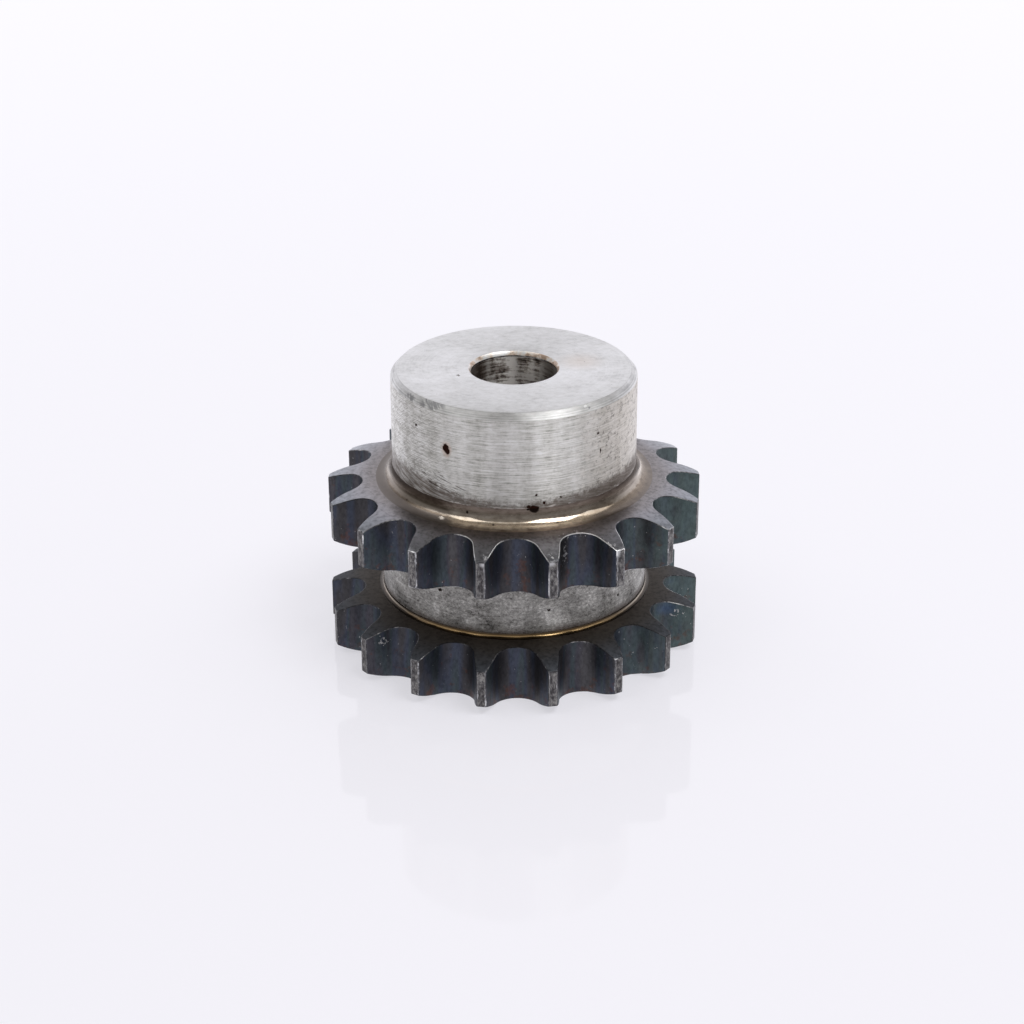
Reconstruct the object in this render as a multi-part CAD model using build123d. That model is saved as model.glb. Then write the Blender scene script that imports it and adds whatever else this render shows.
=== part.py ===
from build123d import *
import os
from math import radians, sin

# Double-row roller chain sprocket with a hub on one side, turned from one bar of medium-carbon
# steel, hobbed through both rims in one pass and quenched. Millimetres, +Z up along the bore.
# The origin lies on the bore's axis, midway between the two rows of teeth. The toothed end is
# below, the hub's end points up, and one tooth gap of each row is centred on -Y.

# ---- Driving dimensions ----------------------------------------------------------------------

# Chain and teeth
chain_pitch = 12.7
roller_diameter = 8.51
tooth_count = 17
tip_height = 2.85  # tooth tip above the pitch circle

# Rims, each with one row of teeth
row_spacing = 23.2  # middle of one row to the middle of the other
rim_width = 11.3  # across the flat faces
tip_width = 7.6  # across the tip land, where the tapered sides end
flat_border = 2.4  # flat face between the hub's fillet or the core and the tapered tooth sides

# Hub, and the core between the rims
hub_diameter = 48.5
hub_length = 22.6  # from the upper rim's face
hub_fillet = 3.3
hub_chamfer = 1.25
core_diameter = 52.8
core_bevel = 0.9  # flat across each corner between the core and a rim

# Pilot bore, right through
bore_diameter = 16.8
bore_chamfer_width = 0.5  # across the bore's wall
bore_chamfer_depth = 0.9  # along the bore

# How far a cutting tool runs past the metal
tool_overrun = 1.0

# ---- Sizes that follow -----------------------------------------------------------------------

tooth_angle = 360 / tooth_count
pitch_radius = chain_pitch / 2 / sin(radians(tooth_angle / 2))
root_radius = pitch_radius - roller_diameter / 2
tip_radius = pitch_radius + tip_height

# Standard tooth form with the narrowest gap, which leaves the thickest tooth
seat_radius = 0.505 * roller_diameter
seat_angle = 140 - tooth_angle / 4
flank_radius = 0.008 * roller_diameter * (tooth_count**2 + 180)

lower_row = -row_spacing / 2
upper_row = row_spacing / 2
bottom = lower_row - rim_width / 2
shoulder = upper_row + rim_width / 2
top = shoulder + hub_length
core_low = lower_row + rim_width / 2
core_high = upper_row - rim_width / 2

hub_radius = hub_diameter / 2
core_radius = core_diameter / 2
bore_radius = bore_diameter / 2
bore_mouth_radius = bore_radius + bore_chamfer_width

# Outside this radius the rims taper to the tip lands
taper_radius = max(hub_radius + hub_fillet, core_radius + core_bevel) + flat_border


# ---- Turning ---------------------------------------------------------------------------------


def tooth_rim_outline(row):
    """Tip land of one rim and the tapered sides that drop to it, in the turning section."""
    Polyline(
        (taper_radius, row - rim_width / 2),
        (tip_radius, row - tip_width / 2),
        (tip_radius, row + tip_width / 2),
        (taper_radius, row + rim_width / 2),
    )


def turning_section():
    """Half of the blank's section, from the bore's wall out to the tooth tips."""
    with BuildSketch(Plane.XZ) as section:
        with BuildLine():
            tooth_rim_outline(lower_row)
            tooth_rim_outline(upper_row)
            Polyline(
                (taper_radius, core_low),
                (core_radius + core_bevel, core_low),
                (core_radius, core_low + core_bevel),
                (core_radius, core_high - core_bevel),
                (core_radius + core_bevel, core_high),
                (taper_radius, core_high),
            )
            FilletPolyline(
                (taper_radius, shoulder),
                (hub_radius, shoulder),
                (hub_radius, top - hub_chamfer),
                radius=hub_fillet,
            )
            Polyline(
                (hub_radius, top - hub_chamfer),
                (hub_radius - hub_chamfer, top),
                (bore_mouth_radius, top),
                (bore_radius, top - bore_chamfer_depth),
                (bore_radius, bottom + bore_chamfer_depth),
                (bore_mouth_radius, bottom),
                (taper_radius, bottom),
            )
        make_face()
    return section.sketch


# ---- Hobbing ---------------------------------------------------------------------------------


def tooth_gap():
    """Outline of the tooth gap on -Y: the roller's seat, and a flank out past each tip."""
    seat_centre = Vector(0, -(root_radius + seat_radius))
    seat_end = 90 - seat_angle / 2
    to_flank = Vector(1, 0).rotate(Axis.Z, seat_end)
    flank_centre = seat_centre + to_flank * (seat_radius + flank_radius)
    outside = Edge.make_circle(tip_radius + tool_overrun)
    with BuildSketch() as gap:
        with BuildLine():
            CenterArc(seat_centre, seat_radius, seat_end, seat_angle)
            flank = CenterArc(flank_centre, flank_radius, seat_end + 180, outside)
            mirror(flank, about=Plane.YZ)
            Line(flank @ 1, (-(flank @ 1).X, (flank @ 1).Y))
        make_face()
    return gap.sketch


with BuildPart() as sprocket:
    add(turning_section())
    revolve(axis=Axis.Z)
    for row in (lower_row, upper_row):
        with BuildSketch(Plane.XY.offset(row)):
            with PolarLocations(0, tooth_count):
                add(tooth_gap())
        extrude(amount=rim_width / 2, both=True, mode=Mode.SUBTRACT)

sprocket.part.label = "sprocket"
os.makedirs("parts", exist_ok=True)
export_step(sprocket.part, "parts/sprocket.step")
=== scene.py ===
from math import atan2, cos, pi, radians, sin, sqrt

import bmesh
import bpy
from mathutils import Matrix, Vector


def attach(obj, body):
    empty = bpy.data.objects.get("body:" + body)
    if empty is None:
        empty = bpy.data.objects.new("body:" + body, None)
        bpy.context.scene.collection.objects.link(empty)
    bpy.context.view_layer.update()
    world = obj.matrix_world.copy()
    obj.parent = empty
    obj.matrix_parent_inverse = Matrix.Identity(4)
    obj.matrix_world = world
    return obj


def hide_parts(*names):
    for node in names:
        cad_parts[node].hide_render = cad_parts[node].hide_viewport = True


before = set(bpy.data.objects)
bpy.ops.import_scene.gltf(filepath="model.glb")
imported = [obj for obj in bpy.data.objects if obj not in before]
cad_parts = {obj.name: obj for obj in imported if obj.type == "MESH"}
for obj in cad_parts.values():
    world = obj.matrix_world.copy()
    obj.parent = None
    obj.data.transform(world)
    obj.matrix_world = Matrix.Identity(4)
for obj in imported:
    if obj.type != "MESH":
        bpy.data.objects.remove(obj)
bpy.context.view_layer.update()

# Double-row roller chain sprocket with a hub on one side. It is turned from one bar of
# medium-carbon steel, hobbed through both rims in one pass, and quenched and tempered with the
# hub left bright. Sizes below are in millimetres, in the frame of the CAD model: +Z up along
# the bore, the origin midway between the two rows of teeth, one tooth gap centred on -Y.

MM = 0.001  # the scene is in metres

# ---- Sizes, the same as the solid's -----------------------------------------------------------

CHAIN_PITCH = 12.7
ROLLER_DIAMETER = 8.51
TOOTH_COUNT = 17
TIP_HEIGHT = 2.85  # tooth tip above the pitch circle
TIP_WEAR = 0.015  # rubbed off the tips, and only here, so the skin stays inside the solid
TOOTH_ANGLE = 2 * pi / TOOTH_COUNT
PITCH_RADIUS = CHAIN_PITCH / 2 / sin(TOOTH_ANGLE / 2)
ROOT_RADIUS = PITCH_RADIUS - ROLLER_DIAMETER / 2
TIP_RADIUS = PITCH_RADIUS + TIP_HEIGHT - TIP_WEAR
# The roller's seat and the flanks, by the usual rules for chain sprockets
SEAT_RADIUS = 0.505 * ROLLER_DIAMETER
SEAT_ANGLE = radians(140) - TOOTH_ANGLE / 4
FLANK_RADIUS = 0.008 * ROLLER_DIAMETER * (TOOTH_COUNT**2 + 180)

ROW_SPACING = 23.2
RIM_WIDTH = 11.3
TIP_WIDTH = 7.6
HUB_LENGTH = 22.6
LOWER_ROW = -ROW_SPACING / 2
UPPER_ROW = ROW_SPACING / 2
BOTTOM = LOWER_ROW - RIM_WIDTH / 2
CORE_LOW = LOWER_ROW + RIM_WIDTH / 2
CORE_HIGH = UPPER_ROW - RIM_WIDTH / 2
SHOULDER = UPPER_ROW + RIM_WIDTH / 2
TOP = SHOULDER + HUB_LENGTH

HUB_RADIUS = 48.5 / 2
HUB_FILLET = 3.3
HUB_CHAMFER = 1.25
CORE_RADIUS = 52.8 / 2
CORE_FILLET = 0.9
BORE_RADIUS = 16.8 / 2
BORE_MOUTH_WIDTH = 0.5
BORE_MOUTH_DEPTH = 0.9

# The tooth sides are relieved in an arc that leaves the flat face here
RELIEF_START = 29.0
RELIEF_DROP = (RIM_WIDTH - TIP_WIDTH) / 2
RELIEF_RADIUS = ((TIP_RADIUS - RELIEF_START) ** 2 + RELIEF_DROP**2) / (2 * RELIEF_DROP)

EDGE_BREAK = 0.13  # tumbled and worn round of every sharp edge


# ---- Node helper and colours ------------------------------------------------------------------


def linear(hex_colour):
    """A colour given as sRGB hex, as the linear RGBA that Blender's sockets take."""
    channels = [int(hex_colour[i : i + 2], 16) / 255 for i in (1, 3, 5)]
    return (
        *(c / 12.92 if c <= 0.04045 else ((c + 0.055) / 1.055) ** 2.4 for c in channels),
        1.0,
    )


def add_node(tree, kind, inputs=None, stops=None, out=None, **settings):
    """Adds one node and returns its output, the first live one or the one that out names. An
    input is a value, a hex colour, or the socket that is linked to it; stops are a colour
    ramp's (position, colour) pairs."""
    new = tree.nodes.new(kind)
    for name, value in settings.items():
        setattr(new, name, value)
    for name, value in (inputs or {}).items():
        live = [socket for socket in new.inputs if socket.enabled and socket.name == name]
        socket = live[0] if live else new.inputs[name]
        if isinstance(value, bpy.types.NodeSocket):
            tree.links.new(value, socket)
        else:
            socket.default_value = linear(value) if isinstance(value, str) else value
    if stops:
        ramp = new.color_ramp.elements
        while len(ramp) < len(stops):
            ramp.new(1.0)
        for element, (position, colour) in zip(ramp, stops):
            element.position = position
            element.color = linear(colour)
    if out:
        return new.outputs[out]
    return next(socket for socket in new.outputs if socket.enabled)


# ---- Camera -----------------------------------------------------------------------------------


def add_camera():
    """A long lens, about 25 degrees above the horizon, close to straight on to a tooth gap."""
    elevation, turn, roll = radians(25.07), radians(-0.6564), radians(-0.18)
    distance = 488.3
    aim_height, aim_right = 8.586, -0.456
    towards_camera = Vector(
        (cos(elevation) * sin(turn), -cos(elevation) * cos(turn), sin(elevation))
    )
    rightwards = Vector((cos(turn), sin(turn), 0))
    data = bpy.data.cameras.new("studio_camera")
    data.lens = 85.38
    data.sensor_width = 36
    data.clip_start = 0.01
    data.clip_end = 50
    camera = bpy.data.objects.new("studio_camera", data)
    bpy.context.collection.objects.link(camera)
    aim = rightwards * aim_right + Vector((0, 0, aim_height))
    camera.location = (aim + towards_camera * distance) * MM
    look = towards_camera.to_track_quat("Z", "Y").to_matrix()
    camera.rotation_euler = (look @ Matrix.Rotation(roll, 3, "Z")).to_euler()
    bpy.context.scene.camera = camera


add_camera()


# ---- What the finishes are made of ------------------------------------------------------------


def start_finish(name, roughness, brushed=0.0):
    """Starts a steel finish. Brushed is how strongly tool marks round the axis stretch its
    reflections across them. Returns its material, its node tree, and the place on the part in
    millimetres."""
    material = bpy.data.materials.new(name)
    material.use_nodes = True
    tree = material.node_tree
    shader = tree.nodes["Principled BSDF"]
    shader.inputs["Metallic"].default_value = 1.0
    shader.inputs["Roughness"].default_value = roughness
    if brushed:
        across_marks = 0.25  # a quarter turn from the tangent, which runs along them
        shader.inputs["Anisotropic"].default_value = brushed
        shader.inputs["Anisotropic Rotation"].default_value = across_marks
        round_axis = add_node(tree, "ShaderNodeTangent", direction_type="RADIAL", axis="Z")
        tree.links.new(round_axis, shader.inputs["Tangent"])
    metres = add_node(tree, "ShaderNodeTexCoord", out="Object")
    place = add_node(
        tree, "ShaderNodeVectorMath", {0: metres, "Scale": 1 / MM}, operation="SCALE"
    )
    return material, tree, place


def finish_with(material, colour, height, depth, roughness=None):
    """Links a finish's colour, its relief, whose depth is in millimetres, and its roughness where
    that varies. Returns the material."""
    tree = material.node_tree
    shader = tree.nodes["Principled BSDF"]
    tree.links.new(colour, shader.inputs["Base Color"])
    if roughness is not None:
        tree.links.new(roughness, shader.inputs["Roughness"])
    bump = add_node(tree, "ShaderNodeBump", {"Height": height, "Distance": depth * MM})
    tree.links.new(bump, shader.inputs["Normal"])
    return material


def blend_of(tree, *parts):
    """Weighted sum of grey values, given as (value, weight) pairs. A weight may be a grey value
    too, which keeps one pattern inside another."""
    total = 0.0
    for value, weight in parts:
        total = add_node(
            tree, "ShaderNodeMath", {0: value, 1: weight, 2: total}, operation="MULTIPLY_ADD"
        )
    return total


def share_of(tree, start, full, *parts, most=1.0, soft=True):
    """How far a weighted sum of grey values has come on its way from start to full: 0 up to
    start, and most from full on. It eases in and out where it is soft."""
    return add_node(
        tree,
        "ShaderNodeMapRange",
        {"Value": blend_of(tree, *parts), "From Min": start, "From Max": full, "To Max": most},
        interpolation_type="SMOOTHSTEP" if soft else "LINEAR",
    )


def shade_of(tree, stops, *parts):
    """Colour that a weighted sum of grey values picks between (position, colour) stops."""
    return add_node(tree, "ShaderNodeValToRGB", {"Fac": blend_of(tree, *parts)}, stops=stops)


def stained(tree, colour, *stains, how="MIX"):
    """Lays stains over a colour in turn, each given as (its share, its own colour)."""
    for share, stain in stains:
        colour = add_node(
            tree,
            "ShaderNodeMix",
            {"Factor": share, "A": colour, "B": stain},
            data_type="RGBA",
            blend_type=how,
        )
    return colour


def flecked(tree, colour, grains, stops):
    """Darkens a colour grain by grain, each by the shade that it picks between the stops."""
    return stained(tree, colour, (1.0, shade_of(tree, stops, (grains, 1.0))), how="MULTIPLY")


def grain(tree, place, size, detail=3.0, roughness=0.55):
    """Noise whose grains measure the given millimetres along X, Y and Z."""
    counts = add_node(
        tree,
        "ShaderNodeVectorMath",
        {0: place, 1: tuple(1 / length for length in size)},
        operation="MULTIPLY",
    )
    return add_node(
        tree,
        "ShaderNodeTexNoise",
        {"Vector": counts, "Scale": 1.0, "Detail": detail, "Roughness": roughness},
    )


def from_axis(tree, place):
    """Distance from the bore's axis in millimetres."""
    flat = add_node(tree, "ShaderNodeVectorMath", {0: place, 1: (1, 1, 0)}, operation="MULTIPLY")
    return add_node(tree, "ShaderNodeVectorMath", {0: flat}, out="Value", operation="LENGTH")


def turn_of(tree, place):
    """Angle round the bore in radians, from -Y towards +X."""
    along = add_node(tree, "ShaderNodeSeparateXYZ", {"Vector": place}).node.outputs
    forwards = blend_of(tree, (along["Y"], -1.0))
    return add_node(tree, "ShaderNodeMath", {0: along["X"], 1: forwards}, operation="ARCTAN2")


def rings(tree, radius, spacing, detail=2.0):
    """Tool marks round the axis on a faced surface, about a spacing apart. A real facing feed of
    0.1 to 0.2 mm is too fine to show, so the spacings are two to four times as coarse."""
    count = add_node(tree, "ShaderNodeMath", {0: radius, 1: spacing}, operation="DIVIDE")
    return add_node(
        tree,
        "ShaderNodeTexNoise",
        {"W": count, "Scale": 1.0, "Detail": detail},
        noise_dimensions="1D",
    )


def scratches(tree, place, slant, length, width):
    """Streaks on the hub that slant from level by some degrees. Length and width are in
    millimetres."""
    along = blend_of(tree, (turn_of(tree, place), HUB_RADIUS))
    height = add_node(tree, "ShaderNodeSeparateXYZ", {"Vector": place}, out="Z")
    unrolled = add_node(tree, "ShaderNodeCombineXYZ", {"X": along, "Y": height})
    streaks = add_node(
        tree,
        "ShaderNodeMapping",
        {"Vector": unrolled, "Rotation": (0, 0, radians(slant)), "Scale": (length, width, 1)},
        vector_type="TEXTURE",
    )
    return add_node(
        tree,
        "ShaderNodeTexNoise",
        {"Vector": streaks, "Scale": 1.0, "Detail": 3.0, "Distortion": 0.2},
        noise_dimensions="2D",
    )


def marks_on(tree, place, radius, marks, softness=0.2):
    """1 inside marks and 0 outside, with ragged rims. The marks lie at a radius from the bore's
    axis, and each is (degrees round from -Y towards +X, height, half its width, half its
    height)."""
    shake = 0.7  # millimetres that a rim strays, to and fro
    lobes = 1.6  # waves of the rim in a millimetre
    ragged = add_node(
        tree, "ShaderNodeTexNoise", {"Vector": place, "Scale": lobes, "Detail": 3.0}, out="Color"
    )
    shaken = add_node(
        tree,
        "ShaderNodeVectorMath",
        {0: ragged, 1: (shake, shake, shake), 2: place},
        operation="MULTIPLY_ADD",
    )
    nearest = 9.0  # far outside every mark, in half widths
    for degrees_round, height, half_width, half_height in marks:
        turn = radians(degrees_round)
        centre = (radius * sin(turn), -radius * cos(turn), height)
        size = (half_width, half_width, half_height)
        from_centre = add_node(
            tree,
            "ShaderNodeVectorMath",
            {
                0: shaken,
                1: tuple(1 / length for length in size),
                2: tuple(-(at + shake / 2) / length for at, length in zip(centre, size)),
            },
            operation="MULTIPLY_ADD",
        )
        reach = add_node(
            tree, "ShaderNodeVectorMath", {0: from_centre}, out="Value", operation="LENGTH"
        )
        nearest = add_node(tree, "ShaderNodeMath", {0: reach, 1: nearest}, operation="MINIMUM")
    return share_of(tree, 1 + softness, 1 - softness, (nearest, 1.0))


# ---- The finishes -----------------------------------------------------------------------------


def turned_hub():
    """Medium-carbon steel, finish-turned and left bright. Grooves round the hub draw fine level
    lines and stretch reflections upright; handling left crossed scratches on one side and specks
    on the other, and the quench left stains and a few pits. The wall's foot carries painted
    shade, and a lip at its bottom is painted bright as its highlight."""
    material, tree, place = start_finish("turned_medium_carbon_steel", 0.42, brushed=0.97)
    along = add_node(tree, "ShaderNodeSeparateXYZ", {"Vector": place}).node.outputs
    height = along["Z"]
    # -1 on the left, 0 in front and behind, 1 on the right
    sideways = blend_of(tree, (along["X"], 1 / HUB_RADIUS))
    # A finishing feed of 0.1 mm is too fine to show, so its grooves are drawn twice as coarse
    grooves = grain(tree, place, (7, 7, 0.2), detail=2.0)
    hairs = grain(tree, place, (2.6, 2.6, 0.17), detail=4.0, roughness=0.65)
    mottle = grain(tree, place, (1.3, 1.3, 1.1), detail=8.0, roughness=0.75)
    bands = grain(tree, place, (3, 3, 40), detail=2.0)
    steel = shade_of(
        tree,
        [(0.39, "#989790"), (0.46, "#d0cfca"), (0.53, "#ebeae7"), (0.61, "#ffffff")],
        (grooves, 0.3),
        (hairs, 0.28),
        (mottle, 0.26),
        (bands, 0.16),
    )
    # The handled side: fine crossed scratches, and grime that gathers beside them
    handled = share_of(tree, -0.17, -0.5, (sideways, 1.0), (mottle, 0.5))
    rising = scratches(tree, place, slant=32, length=2.6, width=0.2)
    falling = scratches(tree, place, slant=-28, length=2.6, width=0.2)
    crossed = share_of(tree, 0.5, 0.38, (rising, 0.55), (falling, 0.45), most=0.7)
    scored = blend_of(tree, (crossed, handled))
    smuts = grain(tree, place, (2.2, 2.2, 3.4), detail=9.0, roughness=0.78)
    grime = share_of(tree, 0.54, 0.66, (smuts, 1.0), most=0.6)
    # The other side: a warmer stain, peppered with fine dark specks
    warm_side = share_of(tree, 0.65, 1.1, (sideways, 1.0), (mottle, 0.6))
    pepper = grain(tree, place, (1.0, 1.0, 0.9), detail=8.0, roughness=0.8)
    specks = blend_of(
        tree,
        (share_of(tree, 0.51, 0.62, (pepper, 1.0)), blend_of(tree, (warm_side, 0.58), (1.0, 0.1))),
    )
    # The lowest 2 mm of the wall, and 4 mm at the sides: painted shade where the wall meets the
    # fillet, with a broken lip at the bottom painted bright as its highlight. Tears in the painted
    # shade stay brighter, most of all on the handled side
    aside = add_node(tree, "ShaderNodeMath", {0: sideways}, operation="ABSOLUTE")
    foot = share_of(
        tree, 24.8, 22.8, (height, 1.0), (mottle, 5.0), (aside, -2.3), (handled, -0.9)
    )
    tears = scratches(tree, place, slant=-11, length=4.0, width=0.3)
    torn = share_of(tree, 0.4, 0.6, (tears, 1.0), most=0.6, soft=False)
    brightened = blend_of(tree, (handled, -0.7), (1.0, -0.3))
    painted_foot_shade = blend_of(tree, (foot, blend_of(tree, (1.0, 1.0), (torn, brightened))))
    flakes = grain(tree, place, (3, 3, 0.6), detail=5.0, roughness=0.7)
    burr_highlight = blend_of(
        tree,
        (
            share_of(tree, 22.4, 22.0, (height, 1.0), (mottle, 2.6)),
            share_of(tree, 0.5, 0.6, (flakes, 1.0), most=0.7),
        ),
    )
    # Long slanting scratches over the foot
    gashes = scratches(tree, place, slant=-14, length=3.4, width=0.28)
    gashed = marks_on(
        tree, place, HUB_RADIUS, [(-40, 24.6, 3.4, 1.5), (-33, 23.2, 4.2, 1.5)], softness=0.3
    )
    rust = marks_on(tree, place, HUB_RADIUS, [(-32.7, 31.3, 1.1, 1.5)], softness=0.35)
    pits = marks_on(
        tree,
        place,
        HUB_RADIUS,
        [
            (-33.0, 31.6, 0.68, 0.85),
            (-32.0, 31.0, 0.5, 0.65),
            (-51.2, 34.2, 0.32, 0.32),
            (40.4, 33.6, 0.25, 0.3),
            (42.1, 29.8, 0.16, 0.55),
            (12.8, 21.5, 0.32, 0.3),
            (20.8, 22.3, 0.25, 0.22),
            (9.1, 23.3, 0.25, 0.22),
            (8.2, 20.5, 1.0, 0.6),
            (5.9, 20.9, 0.4, 0.3),
        ],
    )
    # Among the layers below, the foot's dark brown is painted shade and the lip's pale line a
    # painted highlight
    colour = stained(
        tree,
        steel,
        (scored, "#98958f"),
        (blend_of(tree, (grime, handled)), "#858079"),
        (blend_of(tree, (warm_side, 0.45)), "#d6ccbf"),
        (specks, "#6b635d"),
        (blend_of(tree, (painted_foot_shade, 0.9)), "#6a5f57"),
        (burr_highlight, "#f1ece7"),
        (blend_of(tree, (share_of(tree, 0.44, 0.34, (gashes, 1.0)), gashed)), "#4d453f"),
        (blend_of(tree, (rust, 0.35)), "#c79a7c"),
        (pits, "#38211c"),
    )
    relief_height = blend_of(tree, (grooves, 0.5), (hairs, 0.35), (scored, -0.4), (pits, -3.0))
    roughness = blend_of(
        tree, (1.0, 0.27), (mottle, 0.14), (hairs, 0.1), (specks, 0.15), (pits, 0.3)
    )
    return finish_with(material, colour, relief_height, depth=0.02, roughness=roughness)


def faced_end():
    """Medium-carbon steel, faced: pale, even satin with barely seen rings from the tool, fine
    grain, and a few specks and smears of grime."""
    material, tree, place = start_finish("faced_medium_carbon_steel", 0.4, brushed=0.4)
    tool_marks = rings(tree, from_axis(tree, place), 0.5)
    mottle = grain(tree, place, (1.4, 1.1, 1.1), detail=8.0, roughness=0.74)
    drift = grain(tree, place, (9, 7, 7))
    steel = shade_of(
        tree,
        [(0.36, "#cccccb"), (0.47, "#e3e3e2"), (0.57, "#eeeeee"), (0.68, "#f9f9f9")],
        (tool_marks, 0.08),
        (mottle, 0.56),
        (drift, 0.36),
    )
    smudges = grain(tree, place, (5, 2.4, 3), detail=9.0, roughness=0.8)
    smears = share_of(tree, 0.56, 0.72, (smudges, 1.0), most=0.4)
    warm = marks_on(tree, place, 13.4, [(102.0, TOP, 3.2, 1.5)], softness=0.9)
    dots = marks_on(tree, place, 11.6, [(-70.4, TOP, 0.3, 0.4), (-68.0, TOP, 0.2, 0.4)])
    dust = grain(tree, place, (0.6, 0.6, 0.6), detail=4.0, roughness=0.65)
    specks = share_of(tree, 0.66, 0.74, (dust, 1.0), most=0.5)
    dark = add_node(tree, "ShaderNodeMath", {0: dots, 1: specks}, operation="MAXIMUM")
    colour = stained(
        tree,
        steel,
        (smears, "#a9a599"),
        (blend_of(tree, (warm, 0.4)), "#d6c6b6"),
        (dark, "#6f6963"),
    )
    height = blend_of(tree, (tool_marks, 0.25), (mottle, 0.75))
    return finish_with(material, colour, height, depth=0.008)


def chamfer_cut():
    """Medium-carbon steel, chamfered with a wide tool: satin, with fine lines along the cut, a
    patch rubbed dull with slanting strokes, and one nick."""
    material, tree, place = start_finish("chamfered_medium_carbon_steel", 0.5, brushed=0.8)
    lines = rings(tree, from_axis(tree, place), 0.3, detail=3.0)
    stretch = grain(tree, place, (4, 4, 1.0), detail=7.0, roughness=0.66)
    cut = blend_of(tree, (lines, 0.35), (stretch, 0.65))
    steel = shade_of(tree, [(0.36, "#bababa"), (0.5, "#dadad9"), (0.64, "#f6f6f6")], (cut, 1.0))
    strokes = scratches(tree, place, slant=-30, length=2.4, width=0.5)
    dulled = marks_on(
        tree,
        place,
        HUB_RADIUS - 0.6,
        [(-42, TOP - 0.6, 2.8, 3.0), (-57, TOP - 0.9, 1.6, 0.5)],
        softness=0.35,
    )
    rubbed = blend_of(tree, (dulled, share_of(tree, 0.38, 0.6, (strokes, 1.0), most=0.75)))
    nick = marks_on(tree, place, HUB_RADIUS - 0.8, [(36.0, TOP - 0.8, 0.3, 0.3)])
    raised = marks_on(tree, place, HUB_RADIUS - 1.0, [(34.6, TOP - 0.4, 0.4, 0.2)])
    colour = stained(tree, steel, (rubbed, "#8b8b8e"), (nick, "#9a9a9e"), (raised, "#ffffff"))
    height = blend_of(tree, (cut, 0.6), (strokes, 0.3), (nick, -1.5), (raised, 1.5))
    return finish_with(material, colour, height, depth=0.02)


def bored_wall():
    """Medium-carbon steel, bored: ringed by the boring tool, with painted light on the ridges and
    painted shade in the grooves, blotched by stains, and painted shade down both sides. The rings
    are drawn three times as coarse as a real 0.2 mm feed, which would be too fine to show."""
    material, tree, place = start_finish("bored_medium_carbon_steel", 0.42, brushed=0.9)
    tool_marks = grain(tree, place, (9, 9, 0.6), roughness=0.6)
    stain = grain(tree, place, (1.2, 1.2, 1.0), detail=7.0, roughness=0.75)
    bands = grain(tree, place, (2.4, 2.4, 30), detail=1.0)
    # The rings' colour follows their relief: painted light on the ridges, painted shade in the
    # grooves
    steel = shade_of(
        tree,
        [(0.42, "#453d38"), (0.47, "#a89f99"), (0.53, "#fffdfa")],
        (tool_marks, 0.36),
        (stain, 0.3),
        (bands, 0.34),
    )
    # Painted shade down both sides of the wall, ragged along the stains
    sideways = add_node(tree, "ShaderNodeSeparateXYZ", {"Vector": place}, out="X")
    aside = add_node(tree, "ShaderNodeMath", {0: sideways}, operation="ABSOLUTE")
    painted_side_shade = share_of(tree, 5.8, 9.6, (aside, 1.0), (stain, 4.0), most=0.8)
    colour = stained(tree, steel, (painted_side_shade, "#5f544b"))
    return finish_with(material, colour, tool_marks, depth=0.08)


def bore_mouth():
    """Medium-carbon steel, countersunk, and tinted straw by the quench's heat: pale and warm,
    with soft mottling."""
    material, tree, place = start_finish("straw_tinted_countersink", 0.4)
    mottle = grain(tree, place, (2.4, 2.4, 1.6), detail=5.0, roughness=0.6)
    colour = shade_of(
        tree,
        [(0.4, "#c4ad9b"), (0.48, "#f2e2d3"), (0.54, "#fffaf4"), (0.62, "#ffffff")],
        (mottle, 1.0),
    )
    return finish_with(material, colour, mottle, depth=0.01)


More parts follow.
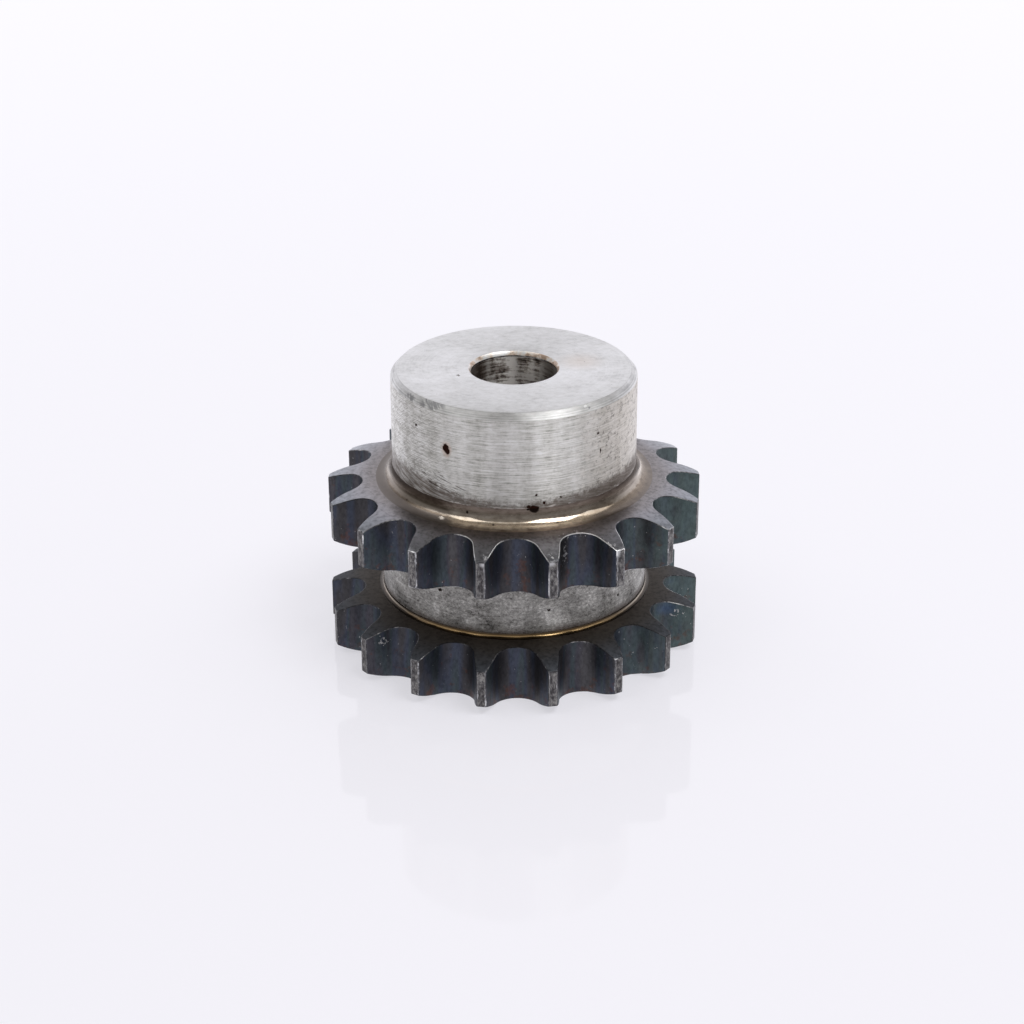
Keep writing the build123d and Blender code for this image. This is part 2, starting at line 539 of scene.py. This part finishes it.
def hub_fillet():
    """Medium-carbon steel, turned with a round-nosed tool and tinted by the quench's heat: dull
    violet brown under the hub's wall, then smooth beige, so it carries one sharp bright line,
    and straw brown at the foot. At the sides it is painted darker, partly as tint and partly as
    shade over the lamps' reflections, and a line of painted highlight runs along it there."""
    material, tree, place = start_finish("brown_tinted_turned_steel", 0.16)
    along = add_node(tree, "ShaderNodeSeparateXYZ", {"Vector": place}).node.outputs
    mottle = grain(tree, place, (1.8, 1.8, 0.7), detail=7.0, roughness=0.68)
    # 0 where the hub's wall ends, 1 on the rim's face
    mean_lift = 0.25  # what the mottle adds to the height on average
    drop = share_of(
        tree,
        SHOULDER + HUB_FILLET + mean_lift,
        SHOULDER + mean_lift,
        (along["Z"], 1.0),
        (mottle, 0.5),
        soft=False,
    )
    tint = shade_of(
        tree,
        [
            (0.0, "#877c74"),
            (0.3, "#93887e"),
            (0.5, "#bfb7ae"),
            (0.7, "#c8bdae"),
            (0.88, "#dbc9b0"),
            (1.0, "#b3a89c"),
        ],
        (drop, 1.0),
    )
    brown = flecked(tree, tint, mottle, [(0.36, "#c6c1bd"), (0.5, "#ece9e7"), (0.64, "#ffffff")])
    # Greyer and darker at the sides, deeper on the left: partly a scorch tint, partly painted
    # shade that dims the lamps' reflections there. A line along the sides is a painted highlight
    sideways = blend_of(tree, (along["X"], 1.0), (mottle, 5.0))
    left = share_of(tree, -8.0, -12.5, (sideways, 1.0))
    right = share_of(tree, 15.0, 19.0, (sideways, 1.0), most=0.6)
    aside = add_node(tree, "ShaderNodeMath", {0: left, 1: right}, operation="MAXIMUM")
    scorched_and_shaded = stained(tree, brown, (aside, "#9c958f"), how="MULTIPLY")
    grey_and_shaded_foot = blend_of(tree, (aside, share_of(tree, 0.74, 0.86, (drop, 1.0))))
    past_line = blend_of(tree, (drop, 1.0), (1.0, -0.65))
    off_line = add_node(tree, "ShaderNodeMath", {0: past_line}, operation="ABSOLUTE")
    painted_highlight_line = share_of(tree, 0.15, 0.05, (off_line, 1.0), most=0.75)
    far_right = share_of(tree, 20.0, 23.0, (sideways, 1.0), most=0.4)
    highlight_line_here = add_node(
        tree,
        "ShaderNodeMath",
        {0: far_right, 1: blend_of(tree, (left, 0.3))},
        operation="MAXIMUM",
    )
    pits = marks_on(
        tree,
        place,
        HUB_RADIUS + 0.1,
        [(8.2, 20.4, 1.0, 0.7), (5.6, 20.5, 0.4, 0.4), (-22.1, 19.2, 0.28, 0.3)],
    )
    dots = marks_on(
        tree,
        place,
        25.6,
        [
            (-56.0, 18.2, 0.35, 0.3),
            (-9.5, 17.8, 0.28, 0.2),
            (18.0, 17.7, 0.28, 0.2),
            (70.0, 18.2, 0.3, 0.3),
        ],
    )
    dark = add_node(tree, "ShaderNodeMath", {0: pits, 1: dots}, operation="MAXIMUM")
    nicks = marks_on(tree, place, 26.0, [(-33.0, 17.65, 0.55, 0.18)], softness=0.4)
    # The grey foot at the sides is partly painted shade, and the pale line is a painted highlight
    colour = stained(
        tree,
        scorched_and_shaded,
        (blend_of(tree, (grey_and_shaded_foot, 0.85)), "#79726d"),
        (blend_of(tree, (highlight_line_here, painted_highlight_line)), "#f6ede3"),
        (dark, "#2a201c"),
        (nicks, "#fff6ea"),
    )
    roughness = blend_of(
        tree,
        (1.0, 0.38),
        (share_of(tree, 0.25, 0.5, (drop, 1.0)), -0.29),
        (share_of(tree, 0.74, 0.95, (drop, 1.0)), 0.2),
        (mottle, 0.03),
        (pits, 0.4),
        (left, 0.09),
    )
    return finish_with(material, colour, mottle, depth=0.003, roughness=roughness)


def rim_face(name, near, middle, far, front, dullness):
    """Medium-carbon steel, turned, then darkened by the quench. Heat tints run from the one near
    the hub, over the middle one, to the far one on the teeth: straw or brown through brown grey
    to blue grey. Front is painted shade laid over the front of the part, none where it is white."""
    material, tree, place = start_finish(name, dullness, brushed=0.3)
    radius = from_axis(tree, place)
    clouds = grain(tree, place, (4, 4, 4), detail=7.0, roughness=0.66)
    mean_drift = 1.7  # what the clouds add to the radius on average
    outwards = share_of(
        tree,
        HUB_RADIUS + 2.9 + mean_drift,
        TIP_RADIUS - 0.5 + mean_drift,
        (radius, 1.0),
        (clouds, 3.4),
    )
    tint = shade_of(tree, [(0.0, near), (0.4, middle), (1.0, far)], (outwards, 1.0))
    tool_marks = rings(tree, radius, 0.5)
    scale = grain(tree, place, (0.8, 0.8, 0.8), detail=5.0, roughness=0.62)
    scaled = flecked(tree, tint, scale, [(0.36, "#c6c6c6"), (0.5, "#eeeeee"), (0.64, "#ffffff")])
    # Painted shade laid over the front of the rim, darkest at the very front
    backwards = add_node(tree, "ShaderNodeSeparateXYZ", {"Vector": place}, out="Y")
    painted_front_shade = share_of(tree, -16.0, -27.0, (backwards, 1.0), (clouds, 8.0))
    darkened = stained(tree, scaled, (painted_front_shade, front), how="MULTIPLY")
    # Chips that blows left beside the upper row's tooth gaps and on its teeth's corners
    gap_chips = marks_on(
        tree, place, 31.0, [(17.5, 17.2, 1.3, 0.6), (22.5, 17.2, 1.6, 0.6)], softness=0.7
    )
    tip_chips = marks_on(
        tree,
        place,
        36.2,
        [(28.4, 16.2, 2.2, 1.0), (-9.6, 15.8, 1.2, 0.8), (10.2, 15.8, 1.2, 0.8)],
        softness=0.7,
    )
    chipped = share_of(tree, 0.74, 0.79, (scale, 1.0), (gap_chips, 0.24), (tip_chips, 0.24))
    colour = stained(tree, darkened, (chipped, "#dcdcde"))
    height = blend_of(tree, (tool_marks, 0.3), (clouds, 0.3), (scale, 0.4), (chipped, -1.0))
    return finish_with(material, colour, height, depth=0.02)


def hobbed_gap():
    """Medium-carbon steel, hobbed and quench-blacked: near black, with soft upright zones of
    blue, teal and violet temper colour, and a little rust low down."""
    material, tree, place = start_finish("hobbed_quench_blacked_steel", 0.5)
    along = add_node(tree, "ShaderNodeSeparateXYZ", {"Vector": place}).node.outputs
    zones = grain(tree, place, (3.4, 3.4, 30), detail=1.0)
    tint = shade_of(
        tree,
        [
            (0.3, "#4b4a4c"),
            (0.42, "#4f4e52"),
            (0.5, "#4d5260"),
            (0.57, "#4e575c"),
            (0.64, "#504f57"),
            (0.74, "#5a595c"),
        ],
        (zones, 1.0),
    )
    # More heat reached one side, which turned it teal, and in two places blue
    clouds = grain(tree, place, (3.5, 3.5, 5), detail=5.0, roughness=0.62)
    hot_side = share_of(tree, 36.0, 58.0, (along["X"], 1.0), (clouds, 40.0), most=0.75)
    blues = marks_on(
        tree, place, 33.0, [(67.5, -7.6, 1.9, 1.3), (87.0, -7.4, 1.6, 1.2)], softness=0.8
    )
    # Height above the row's lower side, the same in both rows
    above_foot = add_node(
        tree,
        "ShaderNodeMath",
        {0: blend_of(tree, (along["Z"], 1.0), (1.0, -BOTTOM)), 1: ROW_SPACING},
        operation="FLOORED_MODULO",
    )
    bloom = grain(tree, place, (2.6, 2.6, 2.6), detail=6.0, roughness=0.66)
    rust = share_of(tree, 0.5, 0.61, (bloom, 1.0), (above_foot, -0.014), most=0.42)
    tempered = stained(
        tree,
        tint,
        (hot_side, "#637372"),
        (blend_of(tree, (blues, 0.55)), "#486491"),
        (rust, "#6b4536"),
    )
    scale = grain(tree, place, (0.6, 0.6, 1.2), detail=5.0, roughness=0.66)
    scaled = flecked(
        tree, tempered, scale, [(0.36, "#d9d9d9"), (0.5, "#f2f2f2"), (0.62, "#ffffff")]
    )
    # Bare steel shows in specks, thickest where other parts struck the teeth
    struck_low = marks_on(
        tree,
        place,
        33.9,
        [(-49.8, -8.9, 1.5, 1.0), (72.5, -8.8, 1.8, 1.2), (75.0, -10.5, 1.4, 1.2)],
        softness=0.6,
    )
    struck_high = marks_on(
        tree,
        place,
        30.8,
        [(19.0, 17.0, 1.6, 0.6), (23.5, 17.0, 1.6, 0.6), (16.5, 13.0, 1.2, 3.0)],
        softness=0.6,
    )
    specks = grain(tree, place, (0.5, 0.5, 0.6))
    bare = share_of(tree, 0.7, 0.76, (specks, 1.0), (struck_low, 0.2), (struck_high, 0.16))
    colour = stained(tree, scaled, (bare, "#bcbcbc"))
    height = blend_of(tree, (clouds, 0.5), (scale, 0.5))
    return finish_with(material, colour, height, depth=0.03)


def tooth_land():
    """Medium-carbon steel, turned blank left on the tips: dull dark grey, rubbed bright along its
    two upright edges."""
    material, tree, place = start_finish("scuffed_turned_tip", 0.42)
    scuffs = grain(tree, place, (0.7, 0.7, 1.1), detail=6.0, roughness=0.72)
    dark = shade_of(tree, [(0.38, "#3f3d3e"), (0.5, "#605e5f"), (0.64, "#94928f")], (scuffs, 1.0))
    half_pitches = blend_of(tree, (turn_of(tree, place), 2 / TOOTH_ANGLE))
    # 0 at the middle of a tooth gap, 1 at the middle of a tooth
    across_pitch = add_node(
        tree, "ShaderNodeMath", {0: half_pitches, 1: 1.0}, operation="PINGPONG"
    )
    rubbed = share_of(tree, 1.005, 0.965, (across_pitch, 1.0), (scuffs, 0.2))
    corners = marks_on(
        tree,
        place,
        37.3,
        [(-9.6, 15.1, 0.7, 0.6), (9.9, 15.2, 0.7, 0.6), (30.6, 15.0, 0.6, 0.9)],
        softness=0.6,
    )
    bright = add_node(tree, "ShaderNodeMath", {0: rubbed, 1: corners}, operation="MAXIMUM")
    colour = stained(tree, dark, (bright, "#bfbfc1"))
    return finish_with(material, colour, scuffs, depth=0.05)


def worn_edge():
    """Bare steel on the tooth edges, rubbed bright in places and still dark in others. It is
    brightest where other parts battered it, and a little brighter on the upper row."""
    material, tree, place = start_finish("rubbed_bright_edge", 0.3)
    patches = grain(tree, place, (5, 5, 5), detail=2.0)
    wear = grain(tree, place, (0.9, 0.9, 0.9), detail=5.0, roughness=0.7)
    battered = marks_on(
        tree,
        place,
        31.5,
        [
            (21, 17.0, 3.4, 1.6),
            (27, 17.0, 3.0, 2.0),
            (10.6, 16.0, 5.6, 1.4),
            (-12, 16.0, 5.8, 1.2),
            (76, -8.0, 4.0, 2.4),
            (27.6, 15.6, 6.0, 2.0),
        ],
        softness=0.4,
    )
    height = add_node(tree, "ShaderNodeSeparateXYZ", {"Vector": place}, out="Z")
    upper_row = share_of(tree, -2.0, 2.0, (height, 1.0), soft=False)
    colour = shade_of(
        tree,
        [(0.42, "#3c3c3f"), (0.51, "#747477"), (0.57, "#c2c2c4"), (0.63, "#fafafa")],
        (patches, 0.5),
        (wear, 0.5),
        (battered, 0.26),
        (upper_row, 0.035),
        (1.0, -0.06),
    )
    return finish_with(material, colour, wear, depth=0.08)


def turned_core():
    """Medium-carbon steel, turned between the rims and only lightly stained by the quench: mid
    grey, finely blotched, with rubbed patches. Its grooves are drawn about twice as coarse as
    a real feed of 0.15 mm, which would be too fine to show."""
    material, tree, place = start_finish("stained_turned_core", 0.42, brushed=0.95)
    grooves = grain(tree, place, (8, 8, 0.35), detail=2.0)
    blotches = grain(tree, place, (0.7, 0.7, 0.5), detail=9.0, roughness=0.9)
    patches = grain(tree, place, (6, 6, 5))
    shade = blend_of(tree, (grooves, 0.1), (blotches, 0.66), (patches, 0.24))
    steel = shade_of(
        tree,
        [(0.4, "#444240"), (0.47, "#969491"), (0.53, "#c1bfbc"), (0.6, "#fbfaf7")],
        (shade, 1.0),
    )
    height = add_node(tree, "ShaderNodeSeparateXYZ", {"Vector": place}, out="Z")
    off_middle = add_node(tree, "ShaderNodeMath", {0: height}, operation="ABSOLUTE")
    brown_ends = share_of(tree, 5.2, 6.8, (off_middle, 1.0), (patches, 3.0), most=0.7)
    pits = marks_on(
        tree,
        place,
        CORE_RADIUS,
        [(13.9, -0.4, 0.4, 0.3), (-33.9, 2.3, 0.35, 0.35), (49.7, -1.6, 0.35, 0.35)],
    )
    colour = stained(tree, steel, (brown_ends, "#5f5148"), (pits, "#2a211d"))
    return finish_with(material, colour, shade, depth=0.03)


def core_fillet():
    """Medium-carbon steel, round-nosed turning, tinted brown, warmest on the front. A narrow band
    along it is painted bright as a highlight: brass gold on the front, paler grey brown round the
    rest."""
    material, tree, place = start_finish("brown_tinted_steel_painted_gold_highlight", 0.2)
    along = add_node(tree, "ShaderNodeSeparateXYZ", {"Vector": place}).node.outputs
    mottle = grain(tree, place, (2.0, 2.0, 0.8), detail=5.0, roughness=0.62)
    off_middle = add_node(tree, "ShaderNodeMath", {0: along["Z"]}, operation="ABSOLUTE")
    # 0 where the core ends, 1 on the rim's face
    mean_lift = 0.1  # what the mottle adds to the height on average
    drop = share_of(
        tree,
        CORE_HIGH - CORE_FILLET + mean_lift,
        CORE_HIGH + mean_lift,
        (off_middle, 1.0),
        (mottle, 0.2),
        soft=False,
    )
    # The bright stop in each ramp paints the highlight line: gold for the front, paler for the
    # rest
    gold = shade_of(
        tree,
        [
            (0.0, "#6a5f54"),
            (0.28, "#4f4231"),
            (0.46, "#8d7250"),
            (0.6, "#dcbd8d"),
            (0.74, "#6f5a3d"),
            (1.0, "#3d352b"),
        ],
        (drop, 1.0),
    )
    plain = shade_of(
        tree,
        [
            (0.0, "#6a6159"),
            (0.32, "#4c443d"),
            (0.56, "#b8ada0"),
            (0.74, "#574e46"),
            (1.0, "#3f3934"),
        ],
        (drop, 1.0),
    )
    # Round the back and sides the fillet takes the paler painted highlight
    off_the_front = share_of(tree, -20.0, -9.0, (along["Y"], 1.0), (mottle, 8.0))
    colour = stained(tree, gold, (off_the_front, plain))
    return finish_with(material, colour, mottle, depth=0.002)


def underside():
    """Medium-carbon steel, faced and quench-darkened: plain dark grey with faint rings."""
    material, tree, place = start_finish("faced_quench_darkened_steel", 0.42)
    tool_marks = rings(tree, from_axis(tree, place), 0.6)
    clouds = grain(tree, place, (5, 5, 5), detail=5.0)
    shade = blend_of(tree, (tool_marks, 0.4), (clouds, 0.6))
    colour = shade_of(
        tree, [(0.36, "#454549"), (0.5, "#64656a"), (0.64, "#86868b")], (shade, 1.0)
    )
    return finish_with(material, colour, shade, depth=0.02)


MATERIALS = {
    "bored_wall": bored_wall(),
    "bore_mouth": bore_mouth(),
    "faced_end": faced_end(),
    "hub_chamfer": chamfer_cut(),
    "turned_hub": turned_hub(),
    "hub_fillet": hub_fillet(),
    "upper_rim_face": rim_face(
        "straw_to_blue_tinted_turned_steel",
        near="#8f8988",
        middle="#a3a1a6",
        far="#a8acb4",
        front="#cecac8",
        dullness=0.31,
    ),
    "hobbed_gap": hobbed_gap(),
    "under_rim_face": rim_face(
        "quench_darkened_under_face",
        near="#57504a",
        middle="#4a484a",
        far="#45474c",
        front="#e6e4e2",
        dullness=0.42,
    ),
    "core_fillet": core_fillet(),
    "turned_core": turned_core(),
    # Darker tints than the upper rim's: partly quench darkening, partly painted shade under the
    # upper rim
    "lower_rim_face": rim_face(
        "brown_to_blue_tinted_steel_painted_shade",
        near="#5f5851",
        middle="#5a5653",
        far="#575a60",
        front="#ffffff",
        dullness=0.6,
    ),
    "underside": underside(),
    "worn_edge": worn_edge(),
    "tooth_land": tooth_land(),
}
FINISHES = list(MATERIALS)  # in the order of the piece's material slots


# ---- The sprocket's mesh ----------------------------------------------------------------------

SAME_POINT = 1e-3  # points closer together than this are merged
SHARP = radians(24)  # edges that turn by more than this are sharp
TURNED_SHARP = radians(33)  # past the 30 degrees that a broken square edge still turns by


def sweep(bm, start, centre, angle, steps):
    """Draws an arc of edges from a point, seen from above, and returns its last point."""
    made = bmesh.ops.spin(bm, geom=[start], cent=centre, axis=(0, 0, 1), angle=angle, steps=steps)
    return next(part for part in made["geom_last"] if isinstance(part, bmesh.types.BMVert))


def tooth_outline(bm):
    """Closed ring of edges round the teeth and gaps of one row, at height 0. It starts at the
    bottom of the gap on -Y: half the roller's seat, the flank, half the tip land, then a mirror
    image and a copy for each tooth."""
    seat_centre = Vector((0, -(ROOT_RADIUS + SEAT_RADIUS), 0))
    seat_bottom = bm.verts.new((0, -ROOT_RADIUS, 0))
    corner = sweep(bm, seat_bottom, seat_centre, -SEAT_ANGLE / 2, steps=10)
    to_flank = (corner.co - seat_centre).normalized()
    flank_centre = seat_centre + to_flank * (SEAT_RADIUS + FLANK_RADIUS)
    tip = sweep(bm, corner, flank_centre, flank_sweep(corner.co, flank_centre), steps=8)
    half_land = TOOTH_ANGLE / 2 - atan2(tip.co.x, -tip.co.y)
    sweep(bm, tip, (0, 0, 0), half_land, steps=3)
    bmesh.ops.mirror(
        bm, geom=bm.verts[:] + bm.edges[:], matrix=Matrix(), merge_dist=SAME_POINT, axis="X"
    )
    bmesh.ops.spin(
        bm,
        geom=bm.verts[:] + bm.edges[:],
        cent=(0, 0, 0),
        axis=(0, 0, 1),
        angle=TOOTH_ANGLE * (TOOTH_COUNT - 1),
        steps=TOOTH_COUNT - 1,
        use_duplicate=True,
    )
    bmesh.ops.remove_doubles(bm, verts=bm.verts, dist=SAME_POINT)


def flank_sweep(start, centre):
    """Angle that the flank's arc turns through, from the seat's end out to the tip circle."""
    reach = centre.xy.length
    radius = (start - centre).length
    to_start = atan2(start.y - centre.y, start.x - centre.x)
    # Where the flank's circle meets the tip circle, seen from the flank's centre
    bend = (radius**2 + reach**2 - TIP_RADIUS**2) / (2 * radius * reach)
    to_axis = atan2(-centre.y, -centre.x)
    swing = atan2(sqrt(1 - bend**2), bend)
    sweeps = [(to_axis + side * swing - to_start + pi) % (2 * pi) - pi for side in (-1, 1)]
    return min(sweeps, key=abs)


def relief(radius):
    """How far the relieved tooth side lies below the flat face at a radius."""
    run = max(0.0, radius - RELIEF_START)
    return RELIEF_RADIUS - sqrt(RELIEF_RADIUS**2 - run**2)


# A station is where the ring of points moves to next. It gives a point's radius and height from
# its reach, which is how far from the axis that point lies on the tooth outline.


def on_circle(radius, height):
    """Station whose points all lie on one circle."""
    return lambda reach: (radius, height)


def on_tooth_side(share, face, side):
    """Station at a share of the way from the relief's start out to the tooth outline. Side is
    1 on a face that points up and -1 on one that points down."""

    def place(reach):
        radius = RELIEF_START + share * (reach - RELIEF_START)
        return radius, face - side * relief(radius)

    return place


def on_gap_wall(share, row):
    """Station on the tooth outline, at a share of the way down from the rim's upper side."""

    def place(reach):
        half_height = RIM_WIDTH / 2 - relief(reach)
        return reach, row + half_height * (1 - 2 * share)

    return place


def wall_stations(finish, radius, start, end, steps):
    """Stations at even steps from one height to another, without the first."""
    return [
        (finish, on_circle(radius, start + (end - start) * step / steps))
        for step in range(1, steps + 1)
    ]


def arc_stations(finish, centre, radius, start, end, steps):
    """Stations along an arc of the turning section, without its first point. Angles are in
    degrees, from outwards towards up."""
    turns = [radians(start + (end - start) * step / steps) for step in range(1, steps + 1)]
    return [
        (finish, on_circle(centre[0] + radius * cos(turn), centre[1] + radius * sin(turn)))
        for turn in turns
    ]


def rim_stations(row, upper_finish, lower_finish):
    """Stations down round one toothed rim: relieved side, wall of teeth and gaps, other side."""
    shares = (0.1, 0.2, 0.32, 0.46, 0.6, 0.74, 0.87)  # closest where the relief starts
    wall_steps = 6
    upper, lower = row + RIM_WIDTH / 2, row - RIM_WIDTH / 2
    return [
        (upper_finish, on_circle(RELIEF_START, upper)),
        *((upper_finish, on_tooth_side(share, upper, 1)) for share in shares),
        (upper_finish, on_gap_wall(0, row)),
        *(
            ("hobbed_gap", on_gap_wall(step / wall_steps, row))
            for step in range(1, wall_steps + 1)
        ),
        *((lower_finish, on_tooth_side(share, lower, -1)) for share in reversed(shares)),
        (lower_finish, on_circle(RELIEF_START, lower)),
    ]


def skin_stations():
    """All stations round the turning section, from the bore's upper mouth, over the hub's end
    and down the outside, to the bore's wall. Each has the finish of the skin that leads to it."""
    mouth = BORE_RADIUS + BORE_MOUTH_WIDTH
    end_edge = HUB_RADIUS - HUB_CHAMFER
    hub_foot = SHOULDER + HUB_FILLET
    core_top, core_foot = CORE_HIGH - CORE_FILLET, CORE_LOW + CORE_FILLET
    core_edge = CORE_RADIUS + CORE_FILLET
    bore_top, bore_foot = TOP - BORE_MOUTH_DEPTH, BOTTOM + BORE_MOUTH_DEPTH
    return [
        ("bore_mouth", on_circle(mouth, TOP)),
        # Two circles that divide the end's long faces
        ("faced_end", on_circle(BORE_RADIUS + 5, TOP)),
        ("faced_end", on_circle(end_edge - 4, TOP)),
        ("faced_end", on_circle(end_edge, TOP)),
        ("hub_chamfer", on_circle(HUB_RADIUS, TOP - HUB_CHAMFER)),
        *wall_stations("turned_hub", HUB_RADIUS, TOP - HUB_CHAMFER, hub_foot, steps=5),
        *arc_stations(
            "hub_fillet", (HUB_RADIUS + HUB_FILLET, hub_foot), HUB_FILLET, 180, 270, steps=14
        ),
        *rim_stations(UPPER_ROW, "upper_rim_face", "under_rim_face"),
        ("under_rim_face", on_circle(core_edge, CORE_HIGH)),
        *arc_stations("core_fillet", (core_edge, core_top), CORE_FILLET, 90, 180, steps=7),
        *wall_stations("turned_core", CORE_RADIUS, core_top, core_foot, steps=4),
        *arc_stations("core_fillet", (core_edge, core_foot), CORE_FILLET, 180, 270, steps=7),
        *rim_stations(LOWER_ROW, "lower_rim_face", "underside"),
        ("underside", on_circle(HUB_RADIUS, BOTTOM)),
        ("underside", on_circle(mouth, BOTTOM)),
        ("bore_mouth", on_circle(BORE_RADIUS, bore_foot)),
        *wall_stations("bored_wall", BORE_RADIUS, bore_foot, bore_top, steps=4),
    ]


def move_ring(verts, reach_layer, place):
    """Moves a ring of points to a station, each at its own angle round the bore."""
    for vert in verts:
        radius, height = place(vert[reach_layer])
        outward = vert.co.xy.normalized() * radius
        vert.co = (outward.x, outward.y, height)


def build_skin(bm):
    """Draws the tooth outline once, then extrudes it from station to station round the whole
    section and closes it on itself, so the skin is one watertight sheet."""
    tooth_outline(bm)
    reach_layer = bm.verts.layers.float.new("outline_reach")
    for vert in bm.verts:
        vert[reach_layer] = vert.co.xy.length
    ring = bm.edges[:]
    move_ring(bm.verts, reach_layer, on_circle(BORE_RADIUS, TOP - BORE_MOUTH_DEPTH))
    for finish, place in skin_stations():
        made = bmesh.ops.extrude_edge_only(bm, edges=ring)["geom"]
        ring_verts = {part for part in made if isinstance(part, bmesh.types.BMVert)}
        ring = [
            part
            for part in made
            if isinstance(part, bmesh.types.BMEdge) and ring_verts.issuperset(part.verts)
        ]
        move_ring(ring_verts, reach_layer, place)
        for face in made:
            if isinstance(face, bmesh.types.BMFace):
                face.material_index = FINISHES.index(finish)
    bmesh.ops.remove_doubles(bm, verts=bm.verts, dist=SAME_POINT)
    bmesh.ops.recalc_face_normals(bm, faces=bm.faces)
    near_tips = TIP_RADIUS - 0.01  # the next points in from the tips lie deeper than this
    for face in bm.faces:
        on_wall = FINISHES[face.material_index] == "hobbed_gap"
        if on_wall and all(vert[reach_layer] > near_tips for vert in face.verts):
            face.material_index = FINISHES.index("tooth_land")


def round_off(bm, edges):
    """Rounds edges off by the edge break. Returns the faces that this adds."""
    return bmesh.ops.bevel(
        bm,
        geom=edges,
        offset=EDGE_BREAK,
        segments=2,
        profile=0.5,
        affect="EDGES",
        material=-1,
    )["faces"]


def break_edges(bm):
    """Takes every sharp edge off, as tumbling and handling do. Edges of the teeth and the bore's
    mouths come out bright; the others keep the finish beside them."""

    def touches(edge, *finishes):
        return any(FINISHES[face.material_index] in finishes for face in edge.link_faces)

    bright_edges = [
        edge
        for edge in bm.edges
        if edge.calc_face_angle(0) > SHARP
        and touches(edge, "hobbed_gap", "tooth_land", "bored_wall")
    ]
    for face in round_off(bm, bright_edges):
        face.material_index = FINISHES.index("worn_edge")
    turned_edges = [
        edge
        for edge in bm.edges
        if edge.calc_face_angle(0) > TURNED_SHARP and not touches(edge, "worn_edge")
    ]
    round_off(bm, turned_edges)


def add_object(name, bm, materials):
    """Makes an object of a finished mesh, with its materials in the order of their slots."""
    mesh = bpy.data.meshes.new(name)
    bm.to_mesh(mesh)
    bm.free()
    for material in materials:
        mesh.materials.append(material)
    new = bpy.data.objects.new(name, mesh)
    bpy.context.collection.objects.link(new)
    return new


def build_sprocket():
    """The whole part as one piece, in place of the solid's looks."""
    bm = bmesh.new()
    build_skin(bm)
    break_edges(bm)
    for edge in bm.edges:
        edge.smooth = edge.calc_face_angle(0) < SHARP
    for face in bm.faces:
        face.smooth = True
    bmesh.ops.scale(bm, vec=(MM, MM, MM), verts=bm.verts)
    piece = add_object("sprocket_skin", bm, MATERIALS.values())
    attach(piece, "root")
    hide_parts("sprocket")


build_sprocket()


# ---- Floor, world and light -------------------------------------------------------------------

STUDIO_WHITE = "#f8f7fd"


def add_floor():
    """Plain pale acrylic sheet, lit a little from below: white, with a faint sharp reflection
    from its polish and only soft shadows."""
    material = bpy.data.materials.new("polished_white_acrylic")
    material.use_nodes = True
    shader = material.node_tree.nodes["Principled BSDF"]
    shader.inputs["Base Color"].default_value = linear("#adacb2")
    shader.inputs["Roughness"].default_value = 0.05
    # Below acrylic's usual 1.49, for a fainter reflection of the part
    shader.inputs["IOR"].default_value = 1.3
    shader.inputs["Emission Color"].default_value = linear(STUDIO_WHITE)
    shader.inputs["Emission Strength"].default_value = 0.6
    bm = bmesh.new()
    bmesh.ops.create_grid(bm, x_segments=8, y_segments=8, size=6.0)
    bmesh.ops.translate(bm, vec=(0, 0, BOTTOM * MM), verts=bm.verts)
    add_object("floor", bm, [material])


def add_world():
    """Pale studio: a bright low backdrop behind the part, and a dim room above and in front. The
    camera itself sees one even pale colour."""
    world = bpy.data.worlds.new("studio")
    world.use_nodes = True
    tree = world.node_tree
    direction = add_node(tree, "ShaderNodeTexCoord", out="Generated")
    backdrop = (0.12, 0.9, -0.42)  # the way to the backdrop's middle
    dim_room = "#959391"
    towards_backdrop = add_node(
        tree,
        "ShaderNodeVectorMath",
        {0: direction, 1: backdrop},
        out="Value",
        operation="DOT_PRODUCT",
    )
    behind = share_of(tree, 0.02, 0.62, (towards_backdrop, 1.0))
    seen = add_node(tree, "ShaderNodeLightPath", out="Is Camera Ray")
    colour = stained(tree, dim_room, (behind, STUDIO_WHITE), (seen, STUDIO_WHITE))
    tree.links.new(colour, tree.nodes["Background"].inputs["Color"])
    bpy.context.scene.world = world


def add_softbox(name, azimuth, elevation, width, height, brightness):
    """Softbox that looks at the part. Its azimuth is in degrees round from -Y towards +X, its
    size in metres, and its brightness relative to white paper."""
    distance = 1.2  # metres
    turn, lift = radians(azimuth), radians(elevation)
    data = bpy.data.lights.new(name, "AREA")
    data.shape = "RECTANGLE"
    data.size, data.size_y = width, height
    data.energy = brightness * pi * width * height
    light = bpy.data.objects.new(name, data)
    bpy.context.collection.objects.link(light)
    direction = Vector((cos(lift) * sin(turn), -cos(lift) * cos(turn), sin(lift)))
    light.location = direction * distance
    light.rotation_euler = direction.to_track_quat("Z", "Y").to_euler()
    light.visible_camera = False


add_floor()
add_world()
for softbox in (  # name, azimuth, elevation, width, height and brightness
    ("right_softbox", 52, 61, 0.62, 0.4, 5.2),
    ("right_fill", 95, 49, 0.6, 0.34, 1.5),
    ("left_softbox", -63, 58, 0.42, 0.4, 1.65),
    ("left_fill", -106, 50, 0.6, 0.32, 1.4),
    ("front_softbox", -5, 69, 0.6, 0.2, 0.5),
):
    add_softbox(*softbox)
bpy.context.scene.view_settings.view_transform = "Standard"
